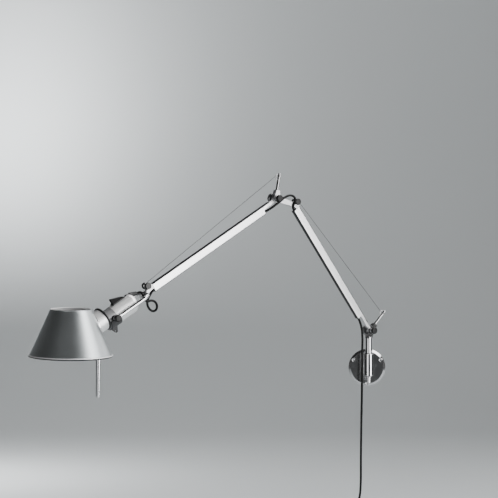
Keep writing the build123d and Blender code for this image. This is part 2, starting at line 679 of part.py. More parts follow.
def shade_shell():
    top, low = SHADE_TOP_D / 2, SHADE_LOW_D / 2
    wall = make_face(Polyline((top, 0), (low, -SHADE_H), (low - WALL_ACROSS, -SHADE_H),
                              (top - WALL_ACROSS, 0), close=True))
    bead = Pos(low - 1.0, -SHADE_H + BEAD_D / 2 - 1.0) * Circle(BEAD_D / 2)
    lip = Pos(top - 1.0, -0.2) * Circle(1.3)
    shell = revolve(Plane.XZ * (wall + bead + lip), Axis.Z)
    return shell - neck_tube(NECK_D - 2 * NECK_WALL, NECK_REACH - 10)


def neck():
    tube = neck_tube(NECK_D) - neck_tube(NECK_D - 2 * NECK_WALL, NECK_START + 2.4)
    tube -= neck_tube(NECK_D - 24, NECK_START - 5, NECK_REACH)
    return tube - cone_solid(-0.02, 20)


def neck_flange():
    saddle = neck_tube(NECK_D + 7, NECK_REACH - 8) & cone_solid(-1.7, 20)
    return saddle - cone_solid(-0.02, 20) - neck_tube(NECK_D + 0.1, 0)


CARRIER_GAP = 0.1


def carrier():
    """A saddle inside the shade, behind the neck, with the arm for the lamp and the rod's socket."""
    inside = cone_solid(WALL_ACROSS + CARRIER_GAP, 20)
    saddle = neck_tube(NECK_D + 4, NECK_REACH - 8) & inside
    saddle -= cone_solid(WALL_ACROSS + CARRIER_GAP + 3.2, 20)
    saddle -= neck_tube(NECK_D - 18, 0)
    arm = slab_y(bar_2d((-NECK_AT[0] + 8, NECK_AT[1] + 12), (-MODULE_D / 2 + 1, MODULE_MID), 9, 9), -7, 7)
    saddle += (arm & inside) - rod_z(MODULE_D, -60, 0)
    leg = slab_y(bar_2d((-NECK_AT[0] + 8, NECK_AT[1]), (-ROD_OFFSET + 4, ROD_TOP - 2), 10, 8), -6, 6)
    saddle += leg & inside
    saddle += rod_z(ROD_D + 5, ROD_TOP - 9, ROD_TOP + 5, -ROD_OFFSET) & inside
    return saddle - rod_z(ROD_D, ROD_TOP - 30, ROD_TOP, -ROD_OFFSET)


NECK_AT = (SHADE_TOP_D / 2 + NECK_DOWN_SLANT * sin(FLARE_ANGLE), -NECK_DOWN_SLANT * cos(FLARE_ANGLE))
DISC_LOW = -DISC_DEPTH - DISC_T
MODULE_MID = DISC_LOW - MODULE_H / 2
DISC_R = SHADE_TOP_D / 2 + FLARE * DISC_DEPTH - WALL_ACROSS - 0.4
LENS_T = 2.4
BOARD_T = 1.6
DIFFUSER_T = 2.0


def top_disc():
    return rod_z(2 * DISC_R, DISC_LOW, -DISC_DEPTH) - rod_z(WINDOW_D, -20, 0)


def window_lens():
    window = rod_z(WINDOW_D - 0.2, DISC_LOW, -DISC_DEPTH - 0.5)
    return window + rod_z(WINDOW_D + 4, DISC_LOW - LENS_T, DISC_LOW)


def lamp_module():
    cup = rod_z(MODULE_D, DISC_LOW - MODULE_H, DISC_LOW)
    cup -= rod_z(MODULE_D - 5, DISC_LOW - MODULE_H - 1, DISC_LOW - MODULE_H * 0.45)
    cup -= rod_z(WINDOW_D + 4.2, DISC_LOW - LENS_T, 0)
    return cup - rod_z(WINDOW_D - 2, -60, 0)


def led_board():
    top = DISC_LOW - MODULE_H * 0.45 - 0.1
    board = rod_z(MODULE_D - 6, top - BOARD_T, top)
    for turn in range(6):
        x, y = polar(MODULE_D * 0.3, turn * 60)
        board += Pos(x, y, top - BOARD_T - 0.5) * Box(4, 4, 1.0)
    return board


def diffuser():
    low = DISC_LOW - MODULE_H + 0.4
    plate = rod_z(MODULE_D - 5.2, low, low + DIFFUSER_T)
    return plate + rod_z(MODULE_D - 5.2, low + DIFFUSER_T, low + DIFFUSER_T + 3) \
        - rod_z(MODULE_D - 8, low + DIFFUSER_T, low + 20)


def handle_rod():
    length = ROD_TOP - ROD_END
    body = Pos(0, 0, ROD_TOP - (length - ROD_TIP_D / 2) / 2) * \
        Cone(ROD_TIP_D / 2, ROD_D / 2 - 0.1, length - ROD_TIP_D / 2)
    body += Pos(0, 0, ROD_END + ROD_TIP_D / 2) * Sphere(ROD_TIP_D / 2)
    return Pos(-ROD_OFFSET, 0, 0) * body


save("shade_cone", SHADE * shade_shell())
save("shade_neck", SHADE * neck())
save("neck_flange", SHADE * neck_flange())
save("lamp_carrier", SHADE * carrier())
save("top_disc", SHADE * top_disc())
save("lamp_module", SHADE * lamp_module(), SHADE * led_board())
save("lenses", SHADE * window_lens(), SHADE * diffuser())
save("handle_rod", SHADE * handle_rod())


# ---------------------------------------------------------------- balance springs and wires
SPRING_LEN = 120.0
SPRING_FROM = 18.0         # past the tube's first end


def arm_spring(start):
    x0 = start + SPRING_FROM
    coil = rod_x(SPRING_D, x0, x0 + SPRING_LEN, z=SPRING_Z)
    coil -= rod_x(SPRING_D - 2 * SPRING_WIRE, x0 - 1, x0 + SPRING_LEN + 1, z=SPRING_Z)
    caps = rod_x(SPRING_D - 2 * SPRING_WIRE, x0 - 1.8, x0 + 3, z=SPRING_Z)
    end = x0 + SPRING_LEN
    return coil + caps + rod_x(SPRING_D - 2 * SPRING_WIRE, end - 3, end + 1.5, z=SPRING_Z)


def tangent_point(hook, end):
    """Where a wire from the hook meets the top of the roller's groove."""
    cx, cz = end + ROLLER_BEYOND, ROLLER_RISE
    reach = ROLLER_GROOVE_R + WIRE_D / 2 + 0.05
    away = hypot(hook[0] - cx, hook[1] - cz)
    lean = atan2(hook[1] - cz, hook[0] - cx) - acos(reach / away)
    return cx + reach * cos(lean), cz + reach * sin(lean), lean


def span_wire(hook, end):
    """The straight wire from the strut's hook to the roller."""
    x, z, _ = tangent_point(hook, end)
    run = Vector(x - hook[0], 0, z - hook[1])
    section = Plane(origin=(hook[0], 0, hook[1]), z_dir=run) * Circle(WIRE_D / 2)
    return extrude(section, run.length)


def draw_wire(hook, start, end):
    """Round the roller and back through the tube to the spring."""
    x, z, lean = tangent_point(hook, end)
    cx, cz = end + ROLLER_BEYOND, ROLLER_RISE
    reach = ROLLER_GROOVE_R + WIRE_D / 2 + 0.05
    mid = (lean - pi / 2) / 2
    around = ThreePointArc((x, z), (cx + reach * cos(mid), cz + reach * sin(mid)), (cx, cz - reach))
    spring_end = start + SPRING_FROM + SPRING_LEN + 1.5
    back = Polyline((cx, cz - reach), (end - PLUG_LEN - 4, cz - reach), (spring_end, SPRING_Z))
    path = Plane.XZ * (around + back)
    section = Plane(origin=path @ 0, z_dir=path % 0) * Circle(WIRE_D / 2)
    return sweep(section, path, transition=Transition.ROUND)


def hook_point(angle, length, x=0.0, z=0.0):
    """The outside of the strut's hook, in the frame of the arm it pulls."""
    along, out = length - HOOK_BACK, HOOK_OUT + HOOK_WIRE / 2 + 0.2
    ax, az = polar(1, angle)
    return x + along * ax + out * az, z + along * az - out * ax


LOWER_HOOK = hook_point(BASE_STRUT_ANGLE - LOWER_RISE, BASE_STRUT_LEN)
UPPER_HOOK = hook_point(ELBOW_STRUT_ANGLE + LOWER_RISE + UPPER_DROP, ELBOW_STRUT_LEN)
for arm, frame, hook, start, end in (("lower", LOWER, LOWER_HOOK, LOWER_START, LOWER_END),
                                     ("upper", UPPER, UPPER_HOOK, UPPER_START, UPPER_END)):
    save(f"{arm}_span_wire", frame * span_wire(hook, end))
    save(f"{arm}_spring", frame * arm_spring(start), frame * draw_wire(hook, start, end))
    save(f"{arm}_inner_cable", frame * rod_x(CABLE_D, start + 2, end - 2, z=CABLE_Z))


# ---------------------------------------------------------------- free cable
# Each point is in the frame it belongs to: arm frames as (along, across, up), the row as (x, y, z).
ROW = Pos(0, 0, 0)
COIL_LOOPS = 4             # whole turns lost on the way in
COIL_OUTER = 40.6
COIL_PITCH = CABLE_D + 0.5
COIL_AT = (-12.0, -46.0, -404.0)
COIL_TAIL = 66.0
COIL_IN = (COIL_AT[0] - COIL_OUTER, COIL_AT[1], COIL_AT[2])
TAIL = [(LOWER, (50, 0, CABLE_Z)), (LOWER, (39, 0, CABLE_Z)), (LOWER, (21, 0, -16.5)), (LOWER, (2, 0, -27.5)),
        (ROW, (-15.6, -68.8, 50)), (ROW, (-15.5, -68.4, 30))]
DROP = [(ROW, (-15.5, -68.4, 30)), (ROW, (-15.4, -68.0, 10)), (ROW, (-16.2, -66.8, -46)),
        (ROW, (-17.2, -65.6, -104)), (ROW, (-18.0, -64.2, -162)), (ROW, (-18.5, -62.4, -218)),
        (ROW, (-18.3, -60.4, -268)), (ROW, (-20.5, -57.8, -306)), (ROW, (-33, -53.0, -336)),
        (ROW, (-48.4, -48.0, -357)), (ROW, (COIL_IN[0], COIL_IN[1], COIL_IN[2] + 20)), (ROW, COIL_IN)]
ELBOW_ARC = [(LOWER, (357, 0, CABLE_Z)), (LOWER, (364.5, 0, CABLE_Z)), (LOWER, (371.5, 7.0, -11.8)),
             (LOWER, (376, 9.3, -2.5)), (LOWER, (385, 9.3, 3.6)), (LOWER, (397, 9.2, -3.5)),
             (LOWER, (402.4, 9.15, -21)), (UPPER, (-6.5, 9.15, -8.6)), (UPPER, (9, 9.15, -9.0)),
             (UPPER, (22, 7.4, -10.5)), (UPPER, (34, 1.0, -11.6)), (UPPER, (41, 0, CABLE_Z)),
             (UPPER, (48, 0, CABLE_Z))]
GLAND_TIP = -9.9 - (GLAND_LEN - 6) * 3 / 4
GLAND_ARC = [(HEAD * GLAND, (GLAND_TIP, 0, 0)), (HEAD * GLAND, (GLAND_TIP - 4.5, 0, 0)),
             (HEAD, (-90.8, 5.0, 9.2)), (HEAD, (-88.7, 10.4, 5.0)), (HEAD, (-88.0, 11.2, -3.5))]
LOOP = [(HEAD, (-88.0, 11.2, -3.5)), (HEAD, (-87.47, 11.8, -9.88)), (HEAD, (-90.8, 11.4, -15.2)),
        (HEAD, (-100, 10.0, -17.4)), (HEAD, (-108.5, 8.4, -24)), (HEAD, (-111, 6.8, -35)),
        (HEAD, (-105, 5.2, -44.5)), (HEAD, (-95, 4.0, -43)), (HEAD, (-90.4, 3.0, -32)),
        (HEAD, (-93.0, 1.9, -21)), (HEAD, (-101, 0.9, -13.4)), (HEAD, (-111.5, 0, -9.0)),
        (HEAD, (-118.5, 0, -CABLE_DROP)), (HEAD, (-126, 0, -CABLE_DROP))]
RADIUS_SHARE = 0.45


def row_points(points):
    return [(frame * Pos(*p)).position for frame, p in points]


def cord_path(points):
    """Straight runs joined by arcs that touch them, each arc as large as its runs allow."""
    spots = row_points(points)
    radii = []
    for before, here, after in zip(spots, spots[1:], spots[2:]):
        first, second = here - before, after - here
        turn = radians(first.get_angle(second))
        radii.append(RADIUS_SHARE * min(first.length, second.length) / tan(turn / 2))
    print("radii", [round(r) for r in radii])
    return FilletPolyline(*spots, radius=radii)


def tube_on(path, diameter=CABLE_D):
    tube = sweep(Plane(origin=path @ 0, z_dir=path % 0) * Circle(diameter / 2), path)
    print("length", round(path.length, 1), "volume ratio",
          round(tube.volume / (pi * diameter ** 2 / 4 * path.length), 4))
    return tube


def coil_path():
    """One winding of half turns: a spiral in, a climb of one layer, and the spiral out again."""
    x0, back, level = COIL_AT
    front = back - COIL_PITCH
    spots = []
    for loop in range(COIL_LOOPS):
        spots += [(-COIL_OUTER + loop * COIL_PITCH, back), (COIL_OUTER - (loop + 0.5) * COIL_PITCH, back)]
    spots.append((-COIL_OUTER + COIL_LOOPS * COIL_PITCH, back))
    spots.append((COIL_OUTER - (COIL_LOOPS + 0.5) * COIL_PITCH, front))
    for loop in reversed(range(1, COIL_LOOPS)):
        spots += [(-COIL_OUTER + (loop + 0.5) * COIL_PITCH, front), (COIL_OUTER - loop * COIL_PITCH, front)]
    spots.append((-COIL_OUTER + 0.5 * COIL_PITCH, front))
    edges, points = [], []
    for turn, (a, b) in enumerate(zip(spots, spots[1:])):
        start, end = Vector(x0 + a[0], a[1], level), Vector(x0 + b[0], b[1], level)
        middle = (start + end) * 0.5
        radius = (end - start).length / 2
        bulge = Vector(0, 0, radius if turn % 2 else -radius)
        edges.append(ThreePointArc(start, middle + bulge, end))
        run = (start - middle)
        points.append([middle + run * cos(pi * i / 24) + bulge * sin(pi * i / 24) for i in range(25)])
    last = Vector(x0 + spots[-1][0], front, level)
    edges.append(Line(last, last - Vector(0, 0, COIL_TAIL)))
    nearest = min((p - q).length for i, first in enumerate(points) for second in points[i + 2:]
                  for p in first for q in second)
    print("coil gap", round(nearest - CABLE_D, 2))
    return Wire([e.edge() for e in edges]), last - Vector(0, 0, COIL_TAIL)


def cord_tie(width=9.0, gap=0.5, thick=1.2):
    """A strap round the bundle at the top of the coil."""
    inner = COIL_OUTER - (COIL_LOOPS + 0.25) * COIL_PITCH - CABLE_D / 2 - gap - 1
    outer = COIL_OUTER + CABLE_D / 2 + gap
    deep = COIL_PITCH + CABLE_D + 2 * gap
    ring = RectangleRounded(deep + 2 * thick, outer - inner + 2 * thick, 3.0) - \
        RectangleRounded(deep, outer - inner, 2.0)
    return Pos(COIL_AT[0] - width / 2, COIL_AT[1] - COIL_PITCH / 2, COIL_AT[2] + (inner + outer) / 2) * \
        extrude(Plane.YZ * ring, width)


PLUG_W = 35.3
PLUG_T = 13.7
PLUG_BODY = 24.0
PIN_D = 4.0
PIN_LEN = 19.0
PIN_GAP = 18.6


def plug_body():
    """Flat two-pin plug pointing down, its cord entering at the origin."""
    outline = make_face(Polyline((-5.2, -12), (5.2, -12), (PLUG_W / 2 - 2, -12 - PLUG_BODY * 0.5),
                                 (PLUG_W / 2, -12 - PLUG_BODY), (-PLUG_W / 2, -12 - PLUG_BODY),
                                 (-PLUG_W / 2 + 2, -12 - PLUG_BODY * 0.5), close=True))
    body = slab_y(outline, -PLUG_T / 2, PLUG_T / 2)
    body = chamfer(body.edges().filter_by(Plane.XZ), 1.6)
    body += rod_z(9.4, -13, -6) + Pos(0, 0, -3) * Cone(4.4, 3.6, 6)
    for ring in range(3):
        body -= rod_z(14, -3.4 - ring * 3.2, -2.2 - ring * 3.2) - rod_z(6.8, -20, 0)
    return body


def plug_pin(side):
    pin = rod_z(PIN_D, -12 - PLUG_BODY - PIN_LEN, -12 - PLUG_BODY, side * PIN_GAP / 2)
    return fillet(pin.edges().group_by(Axis.Z)[0], 1.6)


for name, points in (("tail_cord", TAIL), ("drop_cord", DROP), ("elbow_cable", ELBOW_ARC),
                     ("gland_cable", GLAND_ARC), ("loop_cable", LOOP)):
    print(name)
    save(name, tube_on(cord_path(points)))
COIL, COIL_END = coil_path()
save("cord_coil", tube_on(COIL))
save("cord_tie", cord_tie())
PLUG = Pos(COIL_END)
save("mains_plug", PLUG * plug_body())
save("plug_pins", PLUG * plug_pin(-1), PLUG * plug_pin(1))

CHANNEL = tube_on(cord_path(ELBOW_ARC[:6]), CABLE_D + 0.8)
save("elbow_link", LOWER * elbow_link() - CHANNEL)
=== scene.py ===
import math

import bmesh
import bpy
from mathutils import Matrix, Vector


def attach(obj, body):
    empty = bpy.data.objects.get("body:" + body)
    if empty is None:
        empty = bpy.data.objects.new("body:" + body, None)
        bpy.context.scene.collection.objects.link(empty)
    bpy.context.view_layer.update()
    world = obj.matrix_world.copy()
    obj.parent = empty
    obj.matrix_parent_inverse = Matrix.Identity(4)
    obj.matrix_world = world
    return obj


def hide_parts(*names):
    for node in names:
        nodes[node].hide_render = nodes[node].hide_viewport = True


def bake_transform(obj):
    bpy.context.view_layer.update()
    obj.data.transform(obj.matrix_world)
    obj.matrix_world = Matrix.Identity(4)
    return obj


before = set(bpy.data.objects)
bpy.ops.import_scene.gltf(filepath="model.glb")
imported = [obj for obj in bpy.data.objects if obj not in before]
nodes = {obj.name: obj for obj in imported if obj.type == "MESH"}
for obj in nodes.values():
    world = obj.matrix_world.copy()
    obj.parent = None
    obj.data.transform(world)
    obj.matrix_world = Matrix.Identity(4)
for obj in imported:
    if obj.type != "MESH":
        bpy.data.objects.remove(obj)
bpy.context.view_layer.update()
print("frame loaded", len(nodes), "nodes")

# where the lamp stands: every length in metres, every angle in degrees
lampPose = {
    "swivel": 215.0,
    "lowerRise": 53.2,
    "upperDrop": -30.3,
    "standoff": 0.058,
    "basePivot": (-0.005, 0.091),      # outward, up, in the arms' upright plane
    "elbowPivot": (0.270826, 0.397937),
    "headPivot": (0.704677, 0.137465),
}


def direction(pitch):
    turn, tip = math.radians(lampPose["swivel"]), math.radians(pitch)
    return Vector((math.cos(turn) * math.cos(tip), math.sin(turn) * math.cos(tip), math.sin(tip)))


def armPoint(outward, up, side=0.0):
    turn = math.radians(lampPose["swivel"])
    return Vector((math.cos(turn) * outward - math.sin(turn) * side,
                   -lampPose["standoff"] + math.sin(turn) * outward + math.cos(turn) * side, up))


def framePoint(pivot, pitch, along, side, up):
    tip = math.radians(pitch)
    return armPoint(pivot[0] + along * math.cos(tip) - up * math.sin(tip),
                    pivot[1] + along * math.sin(tip) + up * math.cos(tip), side)


mmPerMetre = 1000       # the cables' points are given in millimetres


def onLower(along, side, up):
    return framePoint(lampPose["basePivot"], lampPose["lowerRise"],
                      along / mmPerMetre, side / mmPerMetre, up / mmPerMetre)


def onUpper(along, side, up):
    return framePoint(lampPose["elbowPivot"], lampPose["upperDrop"],
                      along / mmPerMetre, side / mmPerMetre, up / mmPerMetre)


def onHead(along, side, up):
    return framePoint(lampPose["headPivot"], lampPose["upperDrop"],
                      along / mmPerMetre, side / mmPerMetre, up / mmPerMetre)


def onWall(x, y, z):
    return Vector((x, y, z)) / mmPerMetre


armSide = armPoint(0, 0, 1) - armPoint(0, 0, 0)
lowerAxis, upperAxis = direction(lampPose["lowerRise"]), direction(lampPose["upperDrop"])
upperTop = direction(lampPose["upperDrop"] + 90)

# the shade's own frame: its axis stands on the middle of the top rim
shadeForm = {
    "neckRise": 0.0073,
    "neckReach": 0.0373,
    "lean": 29.4,
    "roll": -3.0,
    "downSlant": 0.0364,        # from the neck up the wall to the top rim
    "topDiameter": 0.088,
    "lowDiameter": 0.175,
    "height": 0.0975,
    "wall": 0.0014,
}
topRadius = shadeForm["topDiameter"] / 2
shadeFlare = (shadeForm["lowDiameter"] / 2 - topRadius) / shadeForm["height"]


def shadeFrame():
    lean = math.radians(shadeForm["lean"])
    slant = lean - math.atan(shadeFlare)
    rim = (shadeForm["neckReach"] - shadeForm["downSlant"] * math.sin(slant)
           + topRadius * math.cos(lean), 0,
           shadeForm["downSlant"] * math.cos(slant) + topRadius * math.sin(lean))
    head = Matrix([(*row, 0) for row in zip(upperAxis, armSide, upperTop)] + [(0, 0, 0, 1)])
    head.translation = armPoint(*lampPose["headPivot"])
    return (head @ Matrix.Translation((0, 0, shadeForm["neckRise"]))
            @ Matrix.Rotation(math.radians(shadeForm["roll"]), 4, "X") @ Matrix.Translation(rim)
            @ Matrix.Rotation(-lean, 4, "Y"))


shadeTop, shadeAxis = shadeFrame().translation, shadeFrame().to_3x3() @ Vector((0, 0, 1))


# shader expressions
class Signal:
    def __init__(self, tree, socket):
        self.tree, self.socket = tree, socket

    def combine(self, operation, other=None, swapped=False):
        node = self.tree.nodes.new("ShaderNodeMath")
        node.operation = operation
        for socket, value in zip(node.inputs, (other, self) if swapped else (self, other)):
            feed(self.tree, socket, value)
        return Signal(self.tree, node.outputs[0])

    def __add__(self, other): return self.combine("ADD", other)
    def __radd__(self, other): return self.combine("ADD", other, swapped=True)
    def __sub__(self, other): return self.combine("SUBTRACT", other)
    def __rsub__(self, other): return self.combine("SUBTRACT", other, swapped=True)
    def __mul__(self, other): return self.combine("MULTIPLY", other)
    def __rmul__(self, other): return self.combine("MULTIPLY", other, swapped=True)
    def __pow__(self, other): return self.combine("POWER", other)
    def __gt__(self, other): return self.combine("GREATER_THAN", other)


def feed(tree, socket, value):
    if value is None:
        return
    if isinstance(value, Signal):
        tree.links.new(value.socket, socket)
    elif socket.type == "RGBA" and len(value) == 3:
        socket.default_value = (*value, 1.0)
    else:
        socket.default_value = value


class Finish:
    def __init__(self, name, **settings):
        self.material = bpy.data.materials.new(name)
        self.material.use_nodes = True
        self.tree = self.material.node_tree
        self.surface = self.tree.nodes["Principled BSDF"]
        self.place = self.node("TexCoord", out="Object")
        for socket, value in settings.items():
            self.set(socket, value)

    def node(self, kind, settings=None, sockets=None, out=0):
        made = self.tree.nodes.new("ShaderNode" + kind)
        for key, value in (settings or {}).items():
            setattr(made, key, value)
        for key, value in (sockets or {}).items():
            feed(self.tree, made.inputs[key], value)
        return Signal(self.tree, made.outputs[out])

    def set(self, socket, value):
        feed(self.tree, self.surface.inputs[socket.replace("_", " ")], value)

    def dot(self, vector, axis):
        return self.node("VectorMath", {"operation": "DOT_PRODUCT"},
                         {0: vector, 1: tuple(axis)}, "Value")

    def from_(self, origin):
        return self.node("VectorMath", {"operation": "SUBTRACT"},
                         {0: self.place, 1: tuple(origin)})

    def stretched(self, along, scale, squeeze):
        axis = Vector(along).normalized()
        side = axis.orthogonal().normalized()
        return self.node("CombineXYZ", None, {"X": self.dot(self.place, axis) * (scale / squeeze),
                                              "Y": self.dot(self.place, side) * scale,
                                              "Z": self.dot(self.place, axis.cross(side)) * scale})

    def noise(self, vector, scale=1.0, detail=3.0, roughness=0.55):
        return self.node("TexNoise", None, {"Vector": vector, "Scale": scale, "Detail": detail,
                                            "Roughness": roughness}, "Fac")

    def fade(self, value, low, high):
        return self.node("MapRange", {"interpolation_type": "SMOOTHSTEP"},
                         {"Value": value, "From Min": low, "From Max": high}, "Result")

    def mix(self, amount, first, second):
        return self.node("Mix", {"data_type": "RGBA"}, {0: amount, 6: first, 7: second}, 2)

    def bump(self, height, distance, strength):
        self.set("Normal", self.node("Bump", None, {"Height": height, "Distance": distance,
                                                    "Strength": strength}, "Normal"))

    def radius(self, origin, axis):
        place, axis = self.from_(origin), Vector(axis).normalized()
        side = axis.orthogonal().normalized()
        a, b = self.dot(place, side), self.dot(place, axis.cross(side))
        return (a * a + b * b) ** 0.5


def shaded(colour, factor):
    return tuple(c * factor for c in colour)


def wear(finish, scale):
    return finish.noise(finish.place, scale, 4.0, 0.6)


# finishes
def brushedMetal(name, colour, roughness, grainAlong, fine, streak, depth=0.00002, dull=0.75):
    finish = Finish(name, Metallic=1.0)
    grain = finish.noise(finish.stretched(grainAlong, fine, streak), 1.0, 2.0, 0.5)
    cloud = wear(finish, 45.0)
    finish.set("Base_Color", finish.mix(finish.fade(grain * 0.6 + cloud * 0.4, 0.3, 0.7),
                                        shaded(colour, dull), colour))
    finish.set("Roughness", roughness + (grain - 0.5) * 0.16 + (cloud - 0.5) * 0.14)
    finish.bump(grain, depth, 0.35)
    return finish.material


def turnedMetal(name, colour, roughness, centre, axis, ringScale=1400.0, depth=0.000012):
    finish = Finish(name, Metallic=1.0)
    along = finish.dot(finish.from_(centre), axis) * ringScale
    across = finish.radius(centre, axis) * ringScale
    rings = finish.noise(finish.node("CombineXYZ", None, {"X": along, "Y": across}), 1.0, 2.0)
    smudge = wear(finish, 70.0)
    finish.set("Base_Color", finish.mix(smudge, shaded(colour, 0.86), colour))
    finish.set("Roughness", roughness + (rings - 0.5) * 0.08
               + finish.fade(smudge, 0.5, 0.75) * 0.07)
    finish.bump(rings, depth, 0.3)
    return finish.material


# the tube's axis lies below the pivots; a thin dark line of painted reflection runs along each
# edge of its side
tubeForm = {"drop": 0.006, "upperLine": 0.0076, "lowerLine": 0.0083,
            "upperFade": 0.0006, "lowerFade": 0.0005, "paintedReflectionTone": (0.045, 0.045, 0.047)}


def armTube(name, colour, roughness, pivot, axis, top):
    finish = Finish(name, Metallic=1.0)
    grain = finish.noise(finish.stretched(axis, 2600.0, 60.0), 1.0, 2.0, 0.5)
    cloud = wear(finish, 30.0)
    level = finish.dot(finish.from_(armPoint(*pivot)), top) + tubeForm["drop"]
    upper, lower = tubeForm["upperLine"], tubeForm["lowerLine"]
    # painted reflection: bands near the side's top and bottom edges are darkened to stand for dark
    # surroundings mirrored in the rounded edges
    edge = finish.fade(level, upper, upper + tubeForm["upperFade"]) \
        + finish.fade(-1.0 * level, lower, lower + tubeForm["lowerFade"])
    metal = finish.mix(finish.fade(grain * 0.5 + cloud * 0.5, 0.3, 0.7),
                       shaded(colour, 0.94), colour)
    finish.set("Base_Color", finish.mix(edge, metal, tubeForm["paintedReflectionTone"]))
    finish.set("Roughness", roughness + (grain - 0.5) * 0.12 + (cloud - 0.5) * 0.08)
    finish.bump(grain, 0.00001, 0.3)
    return finish.material


def ribbedMetal(name, colour, roughness, axis, pitch, depth):
    finish = Finish(name, Metallic=1.0)
    along = finish.dot(finish.place, axis)
    ribs = (along * (2 * math.pi / pitch)).combine("SINE")
    grain = finish.noise(finish.stretched(armSide, 2400.0, 30.0), 1.0, 2.0)
    smudge = wear(finish, 60.0)
    finish.set("Base_Color", finish.mix(finish.fade(smudge, 0.4, 0.8), colour,
                                        shaded(colour, 0.9)))
    finish.set("Roughness", roughness + (grain - 0.5) * 0.1 + (smudge - 0.5) * 0.1)
    finish.bump(ribs * 0.5 + grain * 0.2, depth, 0.4)
    return finish.material


def mouldedPlastic(name, colour, roughness, grainScale=2200.0, depth=0.00003, coat=0.0,
                   sheen=0.3):
    finish = Finish(name, Coat_Roughness=0.2, Specular_IOR_Level=sheen)
    grain = finish.noise(finish.place, grainScale, 3.0)
    dust = finish.noise(finish.place, 130.0, 5.0, 0.65)
    paler = tuple(c * 1.3 + 0.004 for c in colour)
    finish.set("Base_Color", finish.mix(finish.fade(dust, 0.42, 0.78), colour, paler))
    dusty = finish.fade(dust, 0.5, 0.8)
    finish.set("Roughness", roughness + (grain - 0.5) * 0.12 + dusty * 0.1)
    finish.set("Coat_Weight", coat * (1.0 - dusty))
    finish.bump(grain, depth, 0.5)
    return finish.material


# heights above the cone's lower rim where the painted highlight on the rolled bead and the painted
# shadow under it begin and end, with their two colours
beadForm = {"highlightLow": 0.0034, "highlightHigh": 0.0042, "shadowLow": 0.0017, "shadowHigh": 0.0023,
            "tone": (0.86, 0.86, 0.86), "shadowTone": (0.012, 0.012, 0.012)}


def anodisedShade(name, colour, lining):
    finish = Finish(name)
    speck = finish.noise(finish.place, 3200.0, 2.0)
    cloud = finish.noise(finish.place, 22.0, 4.0, 0.6)
    depth = finish.dot(finish.from_(shadeTop), shadeAxis)
    reach = finish.radius(shadeTop, shadeAxis) + depth * shadeFlare
    skin = reach > topRadius - 0.6 * shadeForm["wall"]
    height = shadeForm["height"]
    # painted highlight on the bead's upper part, painted shadow on its underside
    paintedBeadHighlight = finish.fade(-1.0 * depth, height - beadForm["highlightHigh"], height - beadForm["highlightLow"])
    paintedBeadShadow = finish.fade(-1.0 * depth, height - beadForm["shadowHigh"],
                        height - beadForm["shadowLow"])
    outside = finish.mix(finish.fade(speck * 0.5 + cloud * 0.5, 0.34, 0.66),
                         shaded(colour, 0.92), shaded(colour, 1.06))
    # the bead is painted pale as a highlight above and near black as a shadow below
    rim = finish.mix(paintedBeadShadow, beadForm["tone"], beadForm["shadowTone"])
    finish.set("Base_Color", finish.mix(paintedBeadHighlight, finish.mix(skin, lining, outside), rim))
    # metal is turned down on the painted bead highlight and the painted bead shadow
    finish.set("Metallic", skin * (1.0 - paintedBeadHighlight * 0.6) * (1.0 - paintedBeadShadow) * 0.95)
    finish.set("Roughness", 0.34 + (cloud - 0.5) * 0.06 + (speck - 0.5) * 0.05)
    finish.bump(speck, 0.000014, 0.3)
    return finish.material


def cableSheath(name, colour, scuffed):
    finish = Finish(name, Specular_IOR_Level=0.2)
    skin = finish.noise(finish.place, 900.0, 4.0)
    scuff = finish.noise(finish.place, 150.0, 5.0, 0.7)
    finish.set("Base_Color", finish.mix(finish.fade(scuff, 0.45, 0.8), colour, scuffed))
    finish.set("Roughness", 0.5 + (skin - 0.5) * 0.2 + (scuff - 0.5) * 0.15)
    finish.bump(skin, 0.00006, 0.45)
    return finish.material


def opalLens(name, colour, glow):
    finish = Finish(name, Emission_Strength=glow, IOR=1.49)
    haze = finish.noise(finish.place, 80.0, 3.0)
    tone = finish.mix(haze, shaded(colour, 0.95), colour)
    finish.set("Base_Color", tone)
    finish.set("Emission_Color", tone)
    finish.set("Roughness", 0.28 + (haze - 0.5) * 0.15)
    return finish.material


